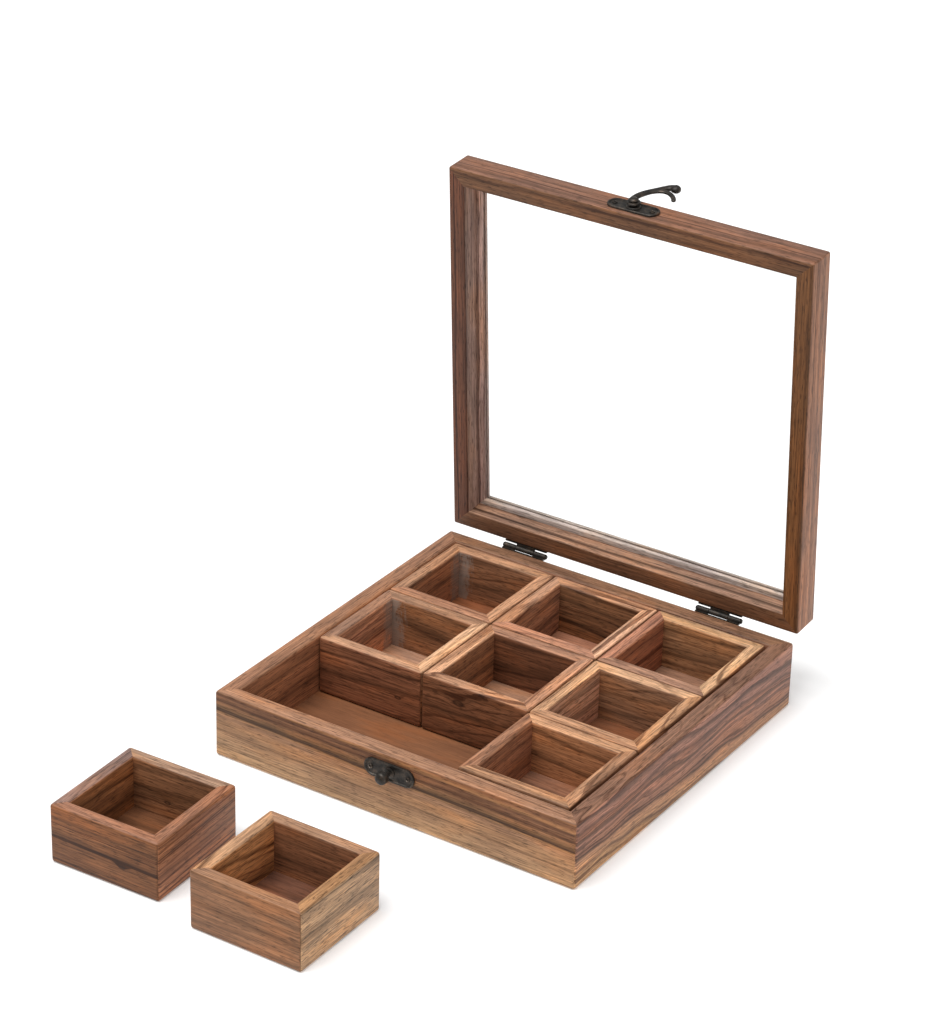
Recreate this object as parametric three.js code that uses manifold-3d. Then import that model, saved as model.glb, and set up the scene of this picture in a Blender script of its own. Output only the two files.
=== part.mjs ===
// A sheesham spice box (masala dabba). A square tray holds nine loose square cups, and a
// glazed lid closes over it on two butt hinges, held shut by a swinging hook at the front.
// Two of the cups stand on the table in front of the tray, and the lid stands open.
//
// Millimetres, +Z up. The origin is the centre of the tray's underside. +X is to the right
// and +Y to the back, as seen from the latch side.

import * as THREE from "three";
import { mergeVertices } from "three/addons/utils/BufferGeometryUtils.js";
import Module from "manifold-3d";

const wasm = await Module();
wasm.setup();

// ---- driving dimensions ---------------------------------------------------------------

const GAP = 0.3; // clearance between two pieces that meet
const BEYOND = 1; // how far a cutter runs past the face it cuts

const SIDE = 203.2; // outer width and depth of the tray and of the lid, eight inches
const TRAY_HEIGHT = 35.4;
const TRAY_WALL = 9.2;
const FLOOR_THICKNESS = 3.8;
const FLOOR_LAP = 4; // how far the floor panel is let into the foot of each wall

const LID_THICKNESS = 17;
const LID_RAIL = 9; // width of a lid rail where it meets the tray's rim
const LIP_WIDTH = 3.3; // the lip round the glass stands in from the rail by this
const LIP_THICKNESS = 6.2;
const GLASS_THICKNESS = 2;
const GLASS_BITE = 6; // how far the glass reaches into the groove in the lip and rail
const LID_OPEN = THREE.MathUtils.degToRad(86.4);

const CUP_SIDE = 60.8;
const CUP_HEIGHT = 31;
const CUP_WALL = 7;
const CUP_FLOOR_THICKNESS = 4;
const CUP_FLOOR_LAP = 2;
const CUP_PITCH = 61.05;
const CUPS_SHIFT = [-0.65, 0.65]; // the cups in the tray sit a little to the left and back

const HINGE_OFFSET = 57.4; // centre of each hinge, left and right of the middle
const HINGE_LENGTH = 25;
const HINGE_REACH = 10; // from the pin's axis to the edge of a leaf
const HINGE_STANDOFF = 2.8; // the pin's axis lies this far behind the rear faces
const LEAF_THICKNESS = 0.8;
const BARREL_RADIUS = 1.4;
const BARREL_BORE = 1;
const PIN_RADIUS = 0.7;
const MIDDLE_KNUCKLE = 10.8;
const PIN_HEAD_THICKNESS = 0.6;
const HINGE_SCREW_SPREAD = 8; // screws of a leaf, left and right of its middle
const HINGE_SCREW_DROP = 6.2; // screws above or below the pin's axis

const PLATE_LENGTH = 28; // latch plate and catch plate
const PLATE_WIDTH = 9.6;
const PLATE_THICKNESS = 1;
const NAIL_SPREAD = 10.4; // nails of a plate, left and right of its middle
const LATCH_HEIGHT = 7.3; // pivot of the hook above the lid's underside
const CATCH_HEIGHT = 26.7; // knob of the catch above the tray's underside
const LATCH_BOSS = { radius: 3.8, height: 0.7 };
const CATCH_BOSS = { radius: 2.5, height: 0.4 };
const HOOK_THICKNESS = 2;
const HOOK_EYE_RADIUS = 3.4;
const HOOK_SWING = THREE.MathUtils.degToRad(65); // from pointing right, turned upwards
const CLAW_WIDTH = 2.3;
const CLAW_REACH = 0.6; // radians round the pivot, from the arm to the claw's tip
const CLAW_SLACK = 0.4; // between the claw and the knob's neck
const POST_RADIUS = 1.3; // neck of the catch knob, which the hook grips
const KNOB = { radius: 3.1, cone: 0.6, edge: 2.8, rise: 1.4 };
const RIVET_RADIUS = 1.1;
const RIVET_HEAD = { radius: 2.5, rise: 1.3 };
const SHANK_DEPTH = 7; // the knob's and the rivet's shanks go this far into the wood

const SCREW = { head: 1.5, rise: 0.7, shank: 0.7, length: 6 };
const NAIL = { head: 1.1, rise: 0.5, shank: 0.55, length: 6 };

const ROUND = 20; // sides of a small round piece
const DOME_STEPS = 4;
const ARC_STEPS = 8;

// ---- colours ---------------------------------------------------------------------------

const wood = (color) => new THREE.MeshStandardMaterial({ color, roughness: 0.55, metalness: 0 });
const TRAY_WOOD = wood(0xa47853);
const FLOOR_BOARD = wood(0x7e4b33);
const LID_WOOD = wood(0x825c46);
const CUP_WOOD = wood(0x9a6848);
const CUP_BASE_WOOD = wood(0x6f4330);
const BRONZE = new THREE.MeshStandardMaterial({ color: 0x3a3733, roughness: 0.5, metalness: 0.8 });
const GLASS = new THREE.MeshStandardMaterial({
  color: 0xf2f6f5,
  roughness: 0.05,
  metalness: 0,
  transparent: true,
  opacity: 0.3,
});

// ---- solids ----------------------------------------------------------------------------

function toSolid(geometry) {
  geometry.deleteAttribute("normal");
  geometry.deleteAttribute("uv");
  const merged = mergeVertices(geometry, 1e-4);
  return new wasm.Manifold(new wasm.Mesh({
    numProp: 3,
    vertProperties: merged.attributes.position.array,
    triVerts: new Uint32Array(merged.index.array),
  }));
}

function toGeometry(solid) {
  const { vertProperties, triVerts } = solid.getMesh();
  const geometry = new THREE.BufferGeometry();
  geometry.setAttribute("position", new THREE.BufferAttribute(vertProperties, 3));
  geometry.setIndex(new THREE.BufferAttribute(triVerts, 1));
  return geometry;
}

// A box between two corners.
function block(low, high) {
  const size = high.map((value, axis) => value - low[axis]);
  const middle = high.map((value, axis) => (value + low[axis]) / 2);
  return toSolid(new THREE.BoxGeometry(...size).translate(...middle));
}

// A square block centred on the Z axis.
function squareBlock(half, bottom, top) {
  return block([-half, -half, bottom], [half, half, top]);
}

// A round piece turned about the Z axis, from [radius, z] points that start and end on it.
function turned(profile) {
  const points = profile.map(([radius, z]) => new THREE.Vector2(radius, z));
  return new THREE.LatheGeometry(points, ROUND).rotateX(Math.PI / 2);
}

function rod(radius, bottom, top) {
  return turned([[0, bottom], [radius, bottom], [radius, top], [0, top]]);
}

// Turns a geometry built along +Z so that +Z points out of the front (-Y) or rear (+Y) face.
function facing(geometry, outward, x, y, z) {
  return geometry.rotateX(outward < 0 ? Math.PI / 2 : -Math.PI / 2).translate(x, y, z);
}

// The [radius, z] points of a low dome, from its rim up to the axis.
function dome(radius, base, rise) {
  const points = [];
  for (let step = 0; step < DOME_STEPS; step += 1) {
    const angle = (step / DOME_STEPS) * (Math.PI / 2);
    points.push([radius * Math.cos(angle), base + rise * Math.sin(angle)]);
  }
  return [...points, [0, base + rise]];
}

function addMesh(group, name, geometry, material) {
  const mesh = new THREE.Mesh(geometry, material);
  mesh.name = name;
  group.add(mesh);
  return mesh;
}

// ---- square frames with mitred corners -------------------------------------------------

const FRAME_SIDES = ["front", "right", "rear", "left"];

// One side of a square frame, mitred at both ends. Side 0 is the front one, and each next
// one is a quarter turn further round.
function mitredSide(outerHalf, innerHalf, height, quarterTurns) {
  const trim = GAP / Math.SQRT2; // leaves the gap across each mitre
  const outline = new THREE.Shape([
    new THREE.Vector2(-outerHalf + trim, -outerHalf),
    new THREE.Vector2(outerHalf - trim, -outerHalf),
    new THREE.Vector2(innerHalf - trim, -innerHalf),
    new THREE.Vector2(-innerHalf + trim, -innerHalf),
  ]);
  const prism = new THREE.ExtrudeGeometry(outline, { depth: height, bevelEnabled: false });
  return toSolid(prism.rotateZ(quarterTurns * (Math.PI / 2)));
}

// ---- fasteners -------------------------------------------------------------------------

// A domed head on a plain shank, standing on a face at z = 0 with the head's seat at `seat`.
function fastener({ head, rise, shank, length }, seat) {
  return turned([[0, -length], [shank, -length], [shank, seat], ...dome(head, seat, rise)]);
}

function pilotHole({ shank, length }) {
  return rod(shank + GAP, -length - GAP, BEYOND);
}

// ---- tray ------------------------------------------------------------------------------

const HALF = SIDE / 2;
const LID_BASE = TRAY_HEIGHT + GAP; // the closed lid's underside
const AXIS_Y = HALF + HINGE_STANDOFF;
const AXIS_Z = TRAY_HEIGHT + GAP / 2;
const HINGES = { left: -HINGE_OFFSET, right: HINGE_OFFSET };

// The screws of every hinge leaf: side is -1 for the tray's leaves and +1 for the lid's.
function hingeScrewPlaces(side) {
  const places = [];
  for (const [hinge, middle] of Object.entries(HINGES)) {
    for (const [index, along] of [-HINGE_SCREW_SPREAD, HINGE_SCREW_SPREAD].entries()) {
      places.push({ hinge, number: index + 1, x: middle + along, z: AXIS_Z + side * HINGE_SCREW_DROP });
    }
  }
  return places;
}

function nailPlaces(z) {
  return [{ name: "left", x: -NAIL_SPREAD, z }, { name: "right", x: NAIL_SPREAD, z }];
}

const LATCH_Z = LID_BASE + LATCH_HEIGHT;

// The holes that the fittings need in the front or rear faces, in closed-lid coordinates.
function fittingHoles(side) {
  const holes = [];
  for (const place of hingeScrewPlaces(side)) {
    holes.push(toSolid(facing(pilotHole(SCREW), 1, place.x, HALF, place.z)));
  }
  const plateZ = side < 0 ? CATCH_HEIGHT : LATCH_Z;
  for (const place of nailPlaces(plateZ)) {
    holes.push(toSolid(facing(pilotHole(NAIL), -1, place.x, -HALF, place.z)));
  }
  const centre = { shank: side < 0 ? POST_RADIUS : RIVET_RADIUS, length: SHANK_DEPTH };
  holes.push(toSolid(facing(pilotHole(centre), -1, 0, -HALF, plateZ)));
  return holes;
}

function buildTray() {
  const tray = new THREE.Group();
  const inner = HALF - TRAY_WALL;
  const rebate = squareBlock(inner + FLOOR_LAP, -BEYOND, FLOOR_THICKNESS + GAP);
  const holes = fittingHoles(-1);
  FRAME_SIDES.forEach((side, turns) => {
    let wall = mitredSide(HALF, inner, TRAY_HEIGHT, turns).subtract(rebate);
    for (const hole of holes) wall = wall.subtract(hole);
    addMesh(tray, `tray_${side}_wall`, toGeometry(wall), TRAY_WOOD);
  });
  const floorSide = 2 * (inner + FLOOR_LAP - GAP);
  const floor = new THREE.BoxGeometry(floorSide, floorSide, FLOOR_THICKNESS);
  addMesh(tray, "tray_floor_panel", floor.translate(0, 0, FLOOR_THICKNESS / 2), FLOOR_BOARD);
  return tray;
}

// ---- cups ------------------------------------------------------------------------------

// Each cup's column and row in the tray, or its own place and turn on the table.
const TRAY_CUPS = [
  { name: "rear_left", column: -1, row: 1 },
  { name: "rear_middle", column: 0, row: 1 },
  { name: "rear_right", column: 1, row: 1 },
  { name: "middle_left", column: -1, row: 0 },
  { name: "centre", column: 0, row: 0 },
  { name: "middle_right", column: 1, row: 0 },
  { name: "front_right", column: 1, row: -1 },
];
const TABLE_CUPS = [
  { name: "front_left", x: -76.6, y: -188.3, turn: 1.5 },
  { name: "front_middle", x: 8.1, y: -195, turn: 0 },
];

function cupWalls() {
  const half = CUP_SIDE / 2;
  const inner = half - CUP_WALL;
  return squareBlock(half, 0, CUP_HEIGHT)
    .subtract(squareBlock(inner, -BEYOND, CUP_HEIGHT + BEYOND))
    .subtract(squareBlock(inner + CUP_FLOOR_LAP, -BEYOND, CUP_FLOOR_THICKNESS + GAP));
}

function buildCup(name) {
  const cup = new THREE.Group();
  addMesh(cup, `cup_${name}_walls`, toGeometry(cupWalls()), CUP_WOOD);
  const floorSide = CUP_SIDE - 2 * (CUP_WALL - CUP_FLOOR_LAP + GAP);
  const floor = new THREE.BoxGeometry(floorSide, floorSide, CUP_FLOOR_THICKNESS);
  addMesh(cup, `cup_${name}_floor`, floor.translate(0, 0, CUP_FLOOR_THICKNESS / 2), CUP_BASE_WOOD);
  return cup;
}

function buildCups() {
  const cups = new THREE.Group();
  for (const { name, column, row } of TRAY_CUPS) {
    const cup = buildCup(name);
    const [shiftX, shiftY] = CUPS_SHIFT;
    cup.position.set(column * CUP_PITCH + shiftX, row * CUP_PITCH + shiftY, FLOOR_THICKNESS + GAP);
    cups.add(cup);
  }
  for (const { name, x, y, turn } of TABLE_CUPS) {
    const cup = buildCup(name);
    cup.position.set(x, y, 0);
    cup.rotation.z = THREE.MathUtils.degToRad(turn);
    cups.add(cup);
  }
  return cups;
}

// ---- lid -------------------------------------------------------------------------------

// The lid's rails and glass, closed over the tray.
function buildLidFrame() {
  const frame = new THREE.Group();
  const wellHalf = HALF - LID_RAIL;
  const openingHalf = wellHalf - LIP_WIDTH;
  const lipBottom = LID_THICKNESS - LIP_THICKNESS;
  const glassMiddle = lipBottom + LIP_THICKNESS / 2;
  const glassHalf = openingHalf + GLASS_BITE;
  const grooveReach = GLASS_THICKNESS / 2 + GAP;
  const well = squareBlock(wellHalf, -BEYOND, lipBottom).translate(0, 0, LID_BASE);
  const groove = squareBlock(glassHalf + GAP, glassMiddle - grooveReach, glassMiddle + grooveReach)
    .translate(0, 0, LID_BASE);
  const holes = fittingHoles(1);
  FRAME_SIDES.forEach((side, turns) => {
    let rail = mitredSide(HALF, openingHalf, LID_THICKNESS, turns)
      .translate(0, 0, LID_BASE)
      .subtract(well)
      .subtract(groove);
    for (const hole of holes) rail = rail.subtract(hole);
    const piece = turns % 2 === 0 ? "rail" : "stile";
    addMesh(frame, `lid_${side}_${piece}`, toGeometry(rail), LID_WOOD);
  });
  const glass = new THREE.BoxGeometry(2 * glassHalf, 2 * glassHalf, GLASS_THICKNESS);
  addMesh(frame, "lid_glass", glass.translate(0, 0, LID_BASE + glassMiddle), GLASS);
  return frame;
}

// ---- hinges ----------------------------------------------------------------------------

// A leaf below (side -1) or above (side +1) the pin's axis, with its knuckles. Knuckles are
// [from, to] along the hinge, measured from its middle.
function hingeLeaf(middle, side, knuckles) {
  const face = HALF + GAP;
  const nearEdge = BARREL_RADIUS / 2;
  const zRange = (from, to) => [AXIS_Z + side * from, AXIS_Z + side * to].sort((a, b) => a - b);
  const [low, high] = zRange(nearEdge, HINGE_REACH);
  const half = HINGE_LENGTH / 2;
  let leaf = block([middle - half, face, low], [middle + half, face + LEAF_THICKNESS, high]);
  for (const place of hingeScrewPlaces(side)) {
    const hole = rod(SCREW.shank + GAP, -BEYOND, LEAF_THICKNESS + BEYOND);
    leaf = leaf.subtract(toSolid(facing(hole, 1, place.x, face, place.z)));
  }
  const [rootLow, rootHigh] = zRange(nearEdge, BARREL_RADIUS);
  for (const [from, to] of knuckles) {
    const barrel = rod(BARREL_RADIUS, from, to).rotateY(Math.PI / 2).translate(middle, AXIS_Y, AXIS_Z);
    const root = block([middle + from, face, rootLow], [middle + to, AXIS_Y, rootHigh]);
    leaf = leaf.add(toSolid(barrel)).add(root);
  }
  const bore = rod(BARREL_BORE, -half - BEYOND, half + BEYOND).rotateY(Math.PI / 2);
  return leaf.subtract(toSolid(bore.translate(middle, AXIS_Y, AXIS_Z)));
}

function hingePin(middle) {
  const half = HINGE_LENGTH / 2;
  const headRadius = BARREL_RADIUS - GAP / 2;
  const headSeat = half + GAP;
  const headEnd = headSeat + PIN_HEAD_THICKNESS;
  const pin = turned([
    [0, -headEnd],
    [headRadius, -headEnd],
    [headRadius, -headSeat],
    [PIN_RADIUS, -headSeat],
    [PIN_RADIUS, headSeat],
    [headRadius, headSeat],
    [headRadius, headEnd],
    [0, headEnd],
  ]);
  return pin.rotateY(Math.PI / 2).translate(middle, AXIS_Y, AXIS_Z);
}

function buildHinges(tray, lid) {
  const half = HINGE_LENGTH / 2;
  const split = MIDDLE_KNUCKLE / 2;
  for (const [hinge, middle] of Object.entries(HINGES)) {
    const outerKnuckles = [[-half, -split - GAP], [split + GAP, half]];
    const trayLeaf = hingeLeaf(middle, -1, outerKnuckles);
    const lidLeaf = hingeLeaf(middle, 1, [[-split, split]]);
    addMesh(tray, `hinge_${hinge}_tray_leaf`, toGeometry(trayLeaf), BRONZE);
    addMesh(tray, `hinge_${hinge}_pin`, hingePin(middle), BRONZE);
    addMesh(lid, `hinge_${hinge}_lid_leaf`, toGeometry(lidLeaf), BRONZE);
  }
  const seat = GAP + LEAF_THICKNESS + GAP;
  for (const [side, group, owner] of [[-1, tray, "tray"], [1, lid, "lid"]]) {
    for (const { hinge, number, x, z } of hingeScrewPlaces(side)) {
      const screw = facing(fastener(SCREW, seat), 1, x, HALF, z);
      addMesh(group, `hinge_${hinge}_${owner}_screw_${number}`, screw, BRONZE);
    }
  }
}

// ---- latch and catch -------------------------------------------------------------------

// Heights above the wood of the front faces.
const PLATE_TOP = GAP + PLATE_THICKNESS;
const HOOK_BACK = PLATE_TOP + LATCH_BOSS.height + GAP;
const HOOK_FRONT = HOOK_BACK + HOOK_THICKNESS;

// An oblong plate with round ends, standing on the front face, with its three holes.
function fittingPlate(z, boss, holeRadius) {
  const straight = PLATE_LENGTH / 2 - PLATE_WIDTH / 2;
  const outline = new THREE.Shape();
  outline.absarc(straight, 0, PLATE_WIDTH / 2, -Math.PI / 2, Math.PI / 2);
  outline.absarc(-straight, 0, PLATE_WIDTH / 2, Math.PI / 2, Math.PI * 1.5);
  const flat = new THREE.ExtrudeGeometry(outline, {
    depth: PLATE_THICKNESS,
    bevelEnabled: false,
    curveSegments: ARC_STEPS,
  }).translate(0, 0, GAP);
  const raised = rod(boss.radius, GAP, PLATE_TOP + boss.height);
  let plate = toSolid(facing(flat, -1, 0, -HALF, z)).add(toSolid(facing(raised, -1, 0, -HALF, z)));
  const drill = (radius, x) => {
    const hole = rod(radius + GAP, -BEYOND, PLATE_TOP + boss.height + BEYOND);
    return toSolid(facing(hole, -1, x, -HALF, z));
  };
  for (const place of nailPlaces(z)) plate = plate.subtract(drill(NAIL.shank, place.x));
  return plate.subtract(drill(holeRadius, 0));
}

function buildPlateNails(group, owner, z) {
  for (const place of nailPlaces(z)) {
    const nail = facing(fastener(NAIL, PLATE_TOP + GAP), -1, place.x, -HALF, place.z);
    addMesh(group, `${owner}_nail_${place.name}`, nail, BRONZE);
  }
}

function buildCatch(tray) {
  const plate = fittingPlate(CATCH_HEIGHT, CATCH_BOSS, POST_RADIUS);
  addMesh(tray, "catch_plate", toGeometry(plate), BRONZE);
  const headSeat = HOOK_FRONT + GAP;
  const edgeStart = headSeat + KNOB.cone;
  const knob = turned([
    [0, -SHANK_DEPTH],
    [POST_RADIUS, -SHANK_DEPTH],
    [POST_RADIUS, headSeat],
    [KNOB.radius, edgeStart],
    ...dome(KNOB.radius, edgeStart + KNOB.edge, KNOB.rise),
  ]);
  addMesh(tray, "catch_knob", facing(knob, -1, 0, -HALF, CATCH_HEIGHT), BRONZE);
  buildPlateNails(tray, "catch", CATCH_HEIGHT);
}

// The hook's outline with the pivot at the origin and the thumb end towards +Y. The inner
// edge of the claw is an arc about the pivot, so the neck of the catch knob slides in.
function hookOutline() {
  const seat = LATCH_Z - CATCH_HEIGHT; // pivot to knob, with the lid closed
  const clawInner = seat + POST_RADIUS + CLAW_SLACK;
  const clawOuter = clawInner + CLAW_WIDTH;
  const clawPoint = (radius, angle) => [radius * Math.sin(angle), radius * Math.cos(angle)];
  const outline = new THREE.Shape();
  outline.moveTo(HOOK_EYE_RADIUS, 0);
  outline.absarc(0, 0, HOOK_EYE_RADIUS, 0, -Math.PI * 0.85, true);
  outline.bezierCurveTo(-6.6, 2, -8.2, 9.5, -6.4, 14); // back of the arm
  outline.bezierCurveTo(-5.4, 17, -5.6, 21, -4.8, 25);
  outline.bezierCurveTo(-4.2, 28.6, -0.8, 30.2, 1.6, 29.6); // round the thumb end
  outline.bezierCurveTo(4.6, 28.8, 4.6, 24.6, 1.8, 24.2);
  outline.bezierCurveTo(-0.6, 24, -2.2, 23.4, -2.2, 21); // under the thumb, to the crotch
  outline.bezierCurveTo(-2.2, 19.8, -1.6, clawOuter + 0.4, 0, clawOuter);
  for (const part of [1 / 3, 2 / 3, 1]) {
    outline.lineTo(...clawPoint(clawOuter, part * CLAW_REACH));
  }
  for (const part of [1, 2 / 3, 1 / 3, 0]) {
    outline.lineTo(...clawPoint(clawInner, part * CLAW_REACH));
  }
  outline.bezierCurveTo(-2.4, clawInner, -2.2, 13.6, -3.2, 11); // seat, then inside of the arm
  outline.bezierCurveTo(-4, 8.6, -3.6, 5.4, -1.2, 3.2);
  outline.absarc(0, 0, HOOK_EYE_RADIUS, Math.PI * 0.62, 0, true);
  return outline;
}

function buildLatch(lid) {
  const plate = fittingPlate(LATCH_Z, LATCH_BOSS, RIVET_RADIUS);
  addMesh(lid, "latch_plate", toGeometry(plate), BRONZE);
  const headSeat = HOOK_FRONT + GAP;
  const rivet = turned([
    [0, -SHANK_DEPTH],
    [RIVET_RADIUS, -SHANK_DEPTH],
    [RIVET_RADIUS, headSeat],
    ...dome(RIVET_HEAD.radius, headSeat, RIVET_HEAD.rise),
  ]);
  addMesh(lid, "latch_rivet", facing(rivet, -1, 0, -HALF, LATCH_Z), BRONZE);
  buildPlateNails(lid, "latch", LATCH_Z);

  const outline = hookOutline();
  const eye = new THREE.Path();
  eye.absarc(0, 0, RIVET_RADIUS + GAP, 0, Math.PI * 2, false);
  outline.holes.push(eye);
  const hook = new THREE.ExtrudeGeometry(outline, {
    depth: HOOK_THICKNESS,
    bevelEnabled: false,
    curveSegments: ARC_STEPS,
  });
  hook.rotateZ(HOOK_SWING - Math.PI / 2).translate(0, 0, HOOK_BACK);
  const hookMesh = toGeometry(toSolid(facing(hook, -1, 0, -HALF, LATCH_Z)));
  addMesh(lid, "latch_hook", hookMesh, BRONZE);
}

// ---- assembly --------------------------------------------------------------------------

const tray = buildTray();
const lid = buildLidFrame();
buildHinges(tray, lid);
buildCatch(tray);
buildLatch(lid);

// The closed lid is moved so that the pins' axis is the turning point, then swung open.
lid.position.set(0, -AXIS_Y, -AXIS_Z);
const openLid = new THREE.Group();
openLid.add(lid);
openLid.position.set(0, AXIS_Y, AXIS_Z);
openLid.rotation.x = -LID_OPEN;

const spiceBox = new THREE.Group();
spiceBox.add(tray, buildCups(), openLid);

export default spiceBox;
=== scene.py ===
import math
import random

import bmesh
import bpy
from mathutils import Matrix, Vector


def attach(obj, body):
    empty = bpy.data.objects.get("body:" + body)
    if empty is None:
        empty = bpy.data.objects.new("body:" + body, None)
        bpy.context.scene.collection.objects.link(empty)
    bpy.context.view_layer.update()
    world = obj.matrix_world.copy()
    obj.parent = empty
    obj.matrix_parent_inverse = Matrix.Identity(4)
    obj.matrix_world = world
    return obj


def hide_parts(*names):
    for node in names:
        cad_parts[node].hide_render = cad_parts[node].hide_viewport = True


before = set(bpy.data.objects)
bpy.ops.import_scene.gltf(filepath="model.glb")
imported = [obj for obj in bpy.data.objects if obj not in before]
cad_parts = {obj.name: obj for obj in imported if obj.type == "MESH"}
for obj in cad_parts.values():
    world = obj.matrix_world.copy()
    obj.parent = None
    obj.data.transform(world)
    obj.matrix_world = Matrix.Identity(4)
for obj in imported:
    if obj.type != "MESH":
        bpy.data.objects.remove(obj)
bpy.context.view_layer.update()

# ---- camera ------------------------------------------------------------------------------
# A long lens, a little to the right of the latch and about 27 degrees above the table,
# level to within a degree or so.

VIEW_AZIMUTH = math.radians(32.639)
VIEW_ELEVATION = math.radians(27.53)
VIEW_ROLL = math.radians(1.543)
VIEW_DISTANCE = 1.6953  # metres
VIEW_SHIFT = (-0.02095, 0.10586)  # the aim, in metres to the right of the origin and above it
LENS = 121.98  # millimetres, on a 36 mm frame
FAR_CLIP = 20

back = Vector((
    math.sin(VIEW_AZIMUTH) * math.cos(VIEW_ELEVATION),
    -math.cos(VIEW_AZIMUTH) * math.cos(VIEW_ELEVATION),
    math.sin(VIEW_ELEVATION),
))
level = Vector((math.cos(VIEW_AZIMUTH), math.sin(VIEW_AZIMUTH), 0))
upright = back.cross(level)
right = math.cos(VIEW_ROLL) * level + math.sin(VIEW_ROLL) * upright
up = back.cross(right)
bpy.ops.object.camera_add()
camera = bpy.context.object
camera.data.lens = LENS
camera.data.clip_end = FAR_CLIP
camera.matrix_world = Matrix.Translation(
    back * VIEW_DISTANCE + level * VIEW_SHIFT[0] + upright * VIEW_SHIFT[1]
) @ Matrix((right, up, back)).transposed().to_4x4()
bpy.context.scene.camera = camera

# ---- tray walls --------------------------------------------------------------------------
# Four walls of solid sheesham, Indian rosewood, 9 mm thick, glued at mitred corners. They
# were planed, sanded round at the arrises and rubbed with oil, so they have a satin sheen.

MM = 0.001
SIDES = ("front", "right", "rear", "left")
SMOOTH_ANGLE = math.radians(35)  # edges sharper than this stay crisp
HALF = 101.6  # half the box's side, 8 inches across
TRAY_HEIGHT = 35.4
TRAY_WALL = 9.2
FLOOR_THICKNESS = 3.8
FLOOR_LAP = 4  # how far the floor board reaches under the walls
ARRIS = 1.6  # radius of the sanded edges
SAW_GAP = 0.06  # half of the hairline that shows at a glued mitre


def select(piece, kind, wanted):
    """Selects the vertices, edges or faces of the piece in edit mode that the test wants."""
    bpy.ops.mesh.select_mode(type={"verts": "VERT", "edges": "EDGE", "faces": "FACE"}[kind])
    bpy.ops.mesh.select_all(action="DESELECT")
    shape = bmesh.from_edit_mesh(piece.data)
    for part in getattr(shape, kind):
        if wanted(part):
            part.select_set(True)
    shape.select_flush_mode()
    bmesh.update_edit_mesh(piece.data)


def loft(name, corners, steps, closed):
    """Extrudes a ring of corners through (reach in mm, height in mm) steps. A closed one ends
    where it began, as a frame does, and an open one is capped at both ends."""
    outward = 1 / math.cos(math.pi / corners) if corners == 4 else 1
    bpy.ops.object.select_all(action="DESELECT")
    bpy.ops.mesh.primitive_circle_add(
        vertices=corners,
        radius=steps[0][0] * outward * MM,
        fill_type="NOTHING" if closed else "NGON",
        location=(0, 0, steps[0][1] * MM),
        rotation=(0, 0, math.pi / corners if corners == 4 else 0),
    )
    piece = bpy.context.object
    piece.name = name
    bpy.ops.object.transform_apply()
    bpy.ops.object.mode_set(mode="EDIT")
    bpy.ops.mesh.select_all(action="SELECT")
    if not closed:
        bpy.ops.mesh.delete(type="ONLY_FACE")
        bpy.ops.mesh.select_all(action="SELECT")
        bpy.ops.mesh.edge_face_add()
        select(piece, "edges", lambda edge: True)
    pairs = list(zip(steps, steps[1:] + (steps[:1] if closed else [])))
    for (reach, height), (next_reach, next_height) in pairs:
        bpy.ops.mesh.extrude_edges_move(
            TRANSFORM_OT_translate={"value": (0, 0, (next_height - height) * MM)}
        )
        grow = next_reach / reach
        bpy.ops.transform.resize(value=(grow, grow, 1), center_override=(0, 0, next_height * MM))
    if not closed:
        bpy.ops.mesh.edge_face_add()
    bpy.ops.mesh.select_all(action="SELECT")
    bpy.ops.mesh.remove_doubles(threshold=1e-6)
    bpy.ops.mesh.normals_make_consistent(inside=False)
    bpy.ops.object.mode_set(mode="OBJECT")
    return piece


def round_edges(piece, radius, segments, wanted):
    bpy.ops.object.select_all(action="DESELECT")
    piece.select_set(True)
    bpy.context.view_layer.objects.active = piece
    bpy.ops.object.mode_set(mode="EDIT")
    select(piece, "edges", wanted)
    bpy.ops.mesh.bevel(offset=radius * MM, segments=segments, affect="EDGES", clamp_overlap=True)
    bpy.ops.object.mode_set(mode="OBJECT")


def copy_of(piece, name, move=Matrix.Identity(4)):
    """A copy with its own mesh, moved, with the move applied."""
    made = piece.copy()
    made.data = piece.data.copy()
    made.name = made.data.name = name
    bpy.context.scene.collection.objects.link(made)
    made.matrix_world = move
    bpy.ops.object.select_all(action="DESELECT")
    made.select_set(True)
    bpy.context.view_layer.objects.active = made
    bpy.ops.object.transform_apply()
    bpy.ops.object.shade_smooth_by_angle(angle=SMOOTH_ANGLE)
    return made


def saw_mitres(ring, name, side, move):
    """One side of a frame, sawn from the ring at its two mitres."""
    quarter = SIDES.index(side) * math.pi / 2
    made = copy_of(ring, name)
    bpy.ops.object.mode_set(mode="EDIT")
    for slant in (1, -1):
        normal = Matrix.Rotation(quarter, 3, "Z") @ Vector((slant, 1, 0)).normalized()
        bpy.ops.mesh.select_all(action="SELECT")
        bpy.ops.mesh.bisect(
            plane_co=-normal * SAW_GAP * MM,
            plane_no=normal,
            use_fill=True,
            clear_outer=True,
        )
    bpy.ops.object.mode_set(mode="OBJECT")
    made.matrix_world = move
    bpy.ops.object.transform_apply()
    bpy.ops.object.shade_smooth_by_angle(angle=SMOOTH_ANGLE)
    return made


def paint(code):
    """An sRGB hex colour as linear red, green, blue and alpha."""
    shares = [int(code[i:i + 2], 16) / 255 for i in (0, 2, 4)]
    return [s / 12.92 if s <= 0.04045 else ((s + 0.055) / 1.055) ** 2.4 for s in shares] + [1]


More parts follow.
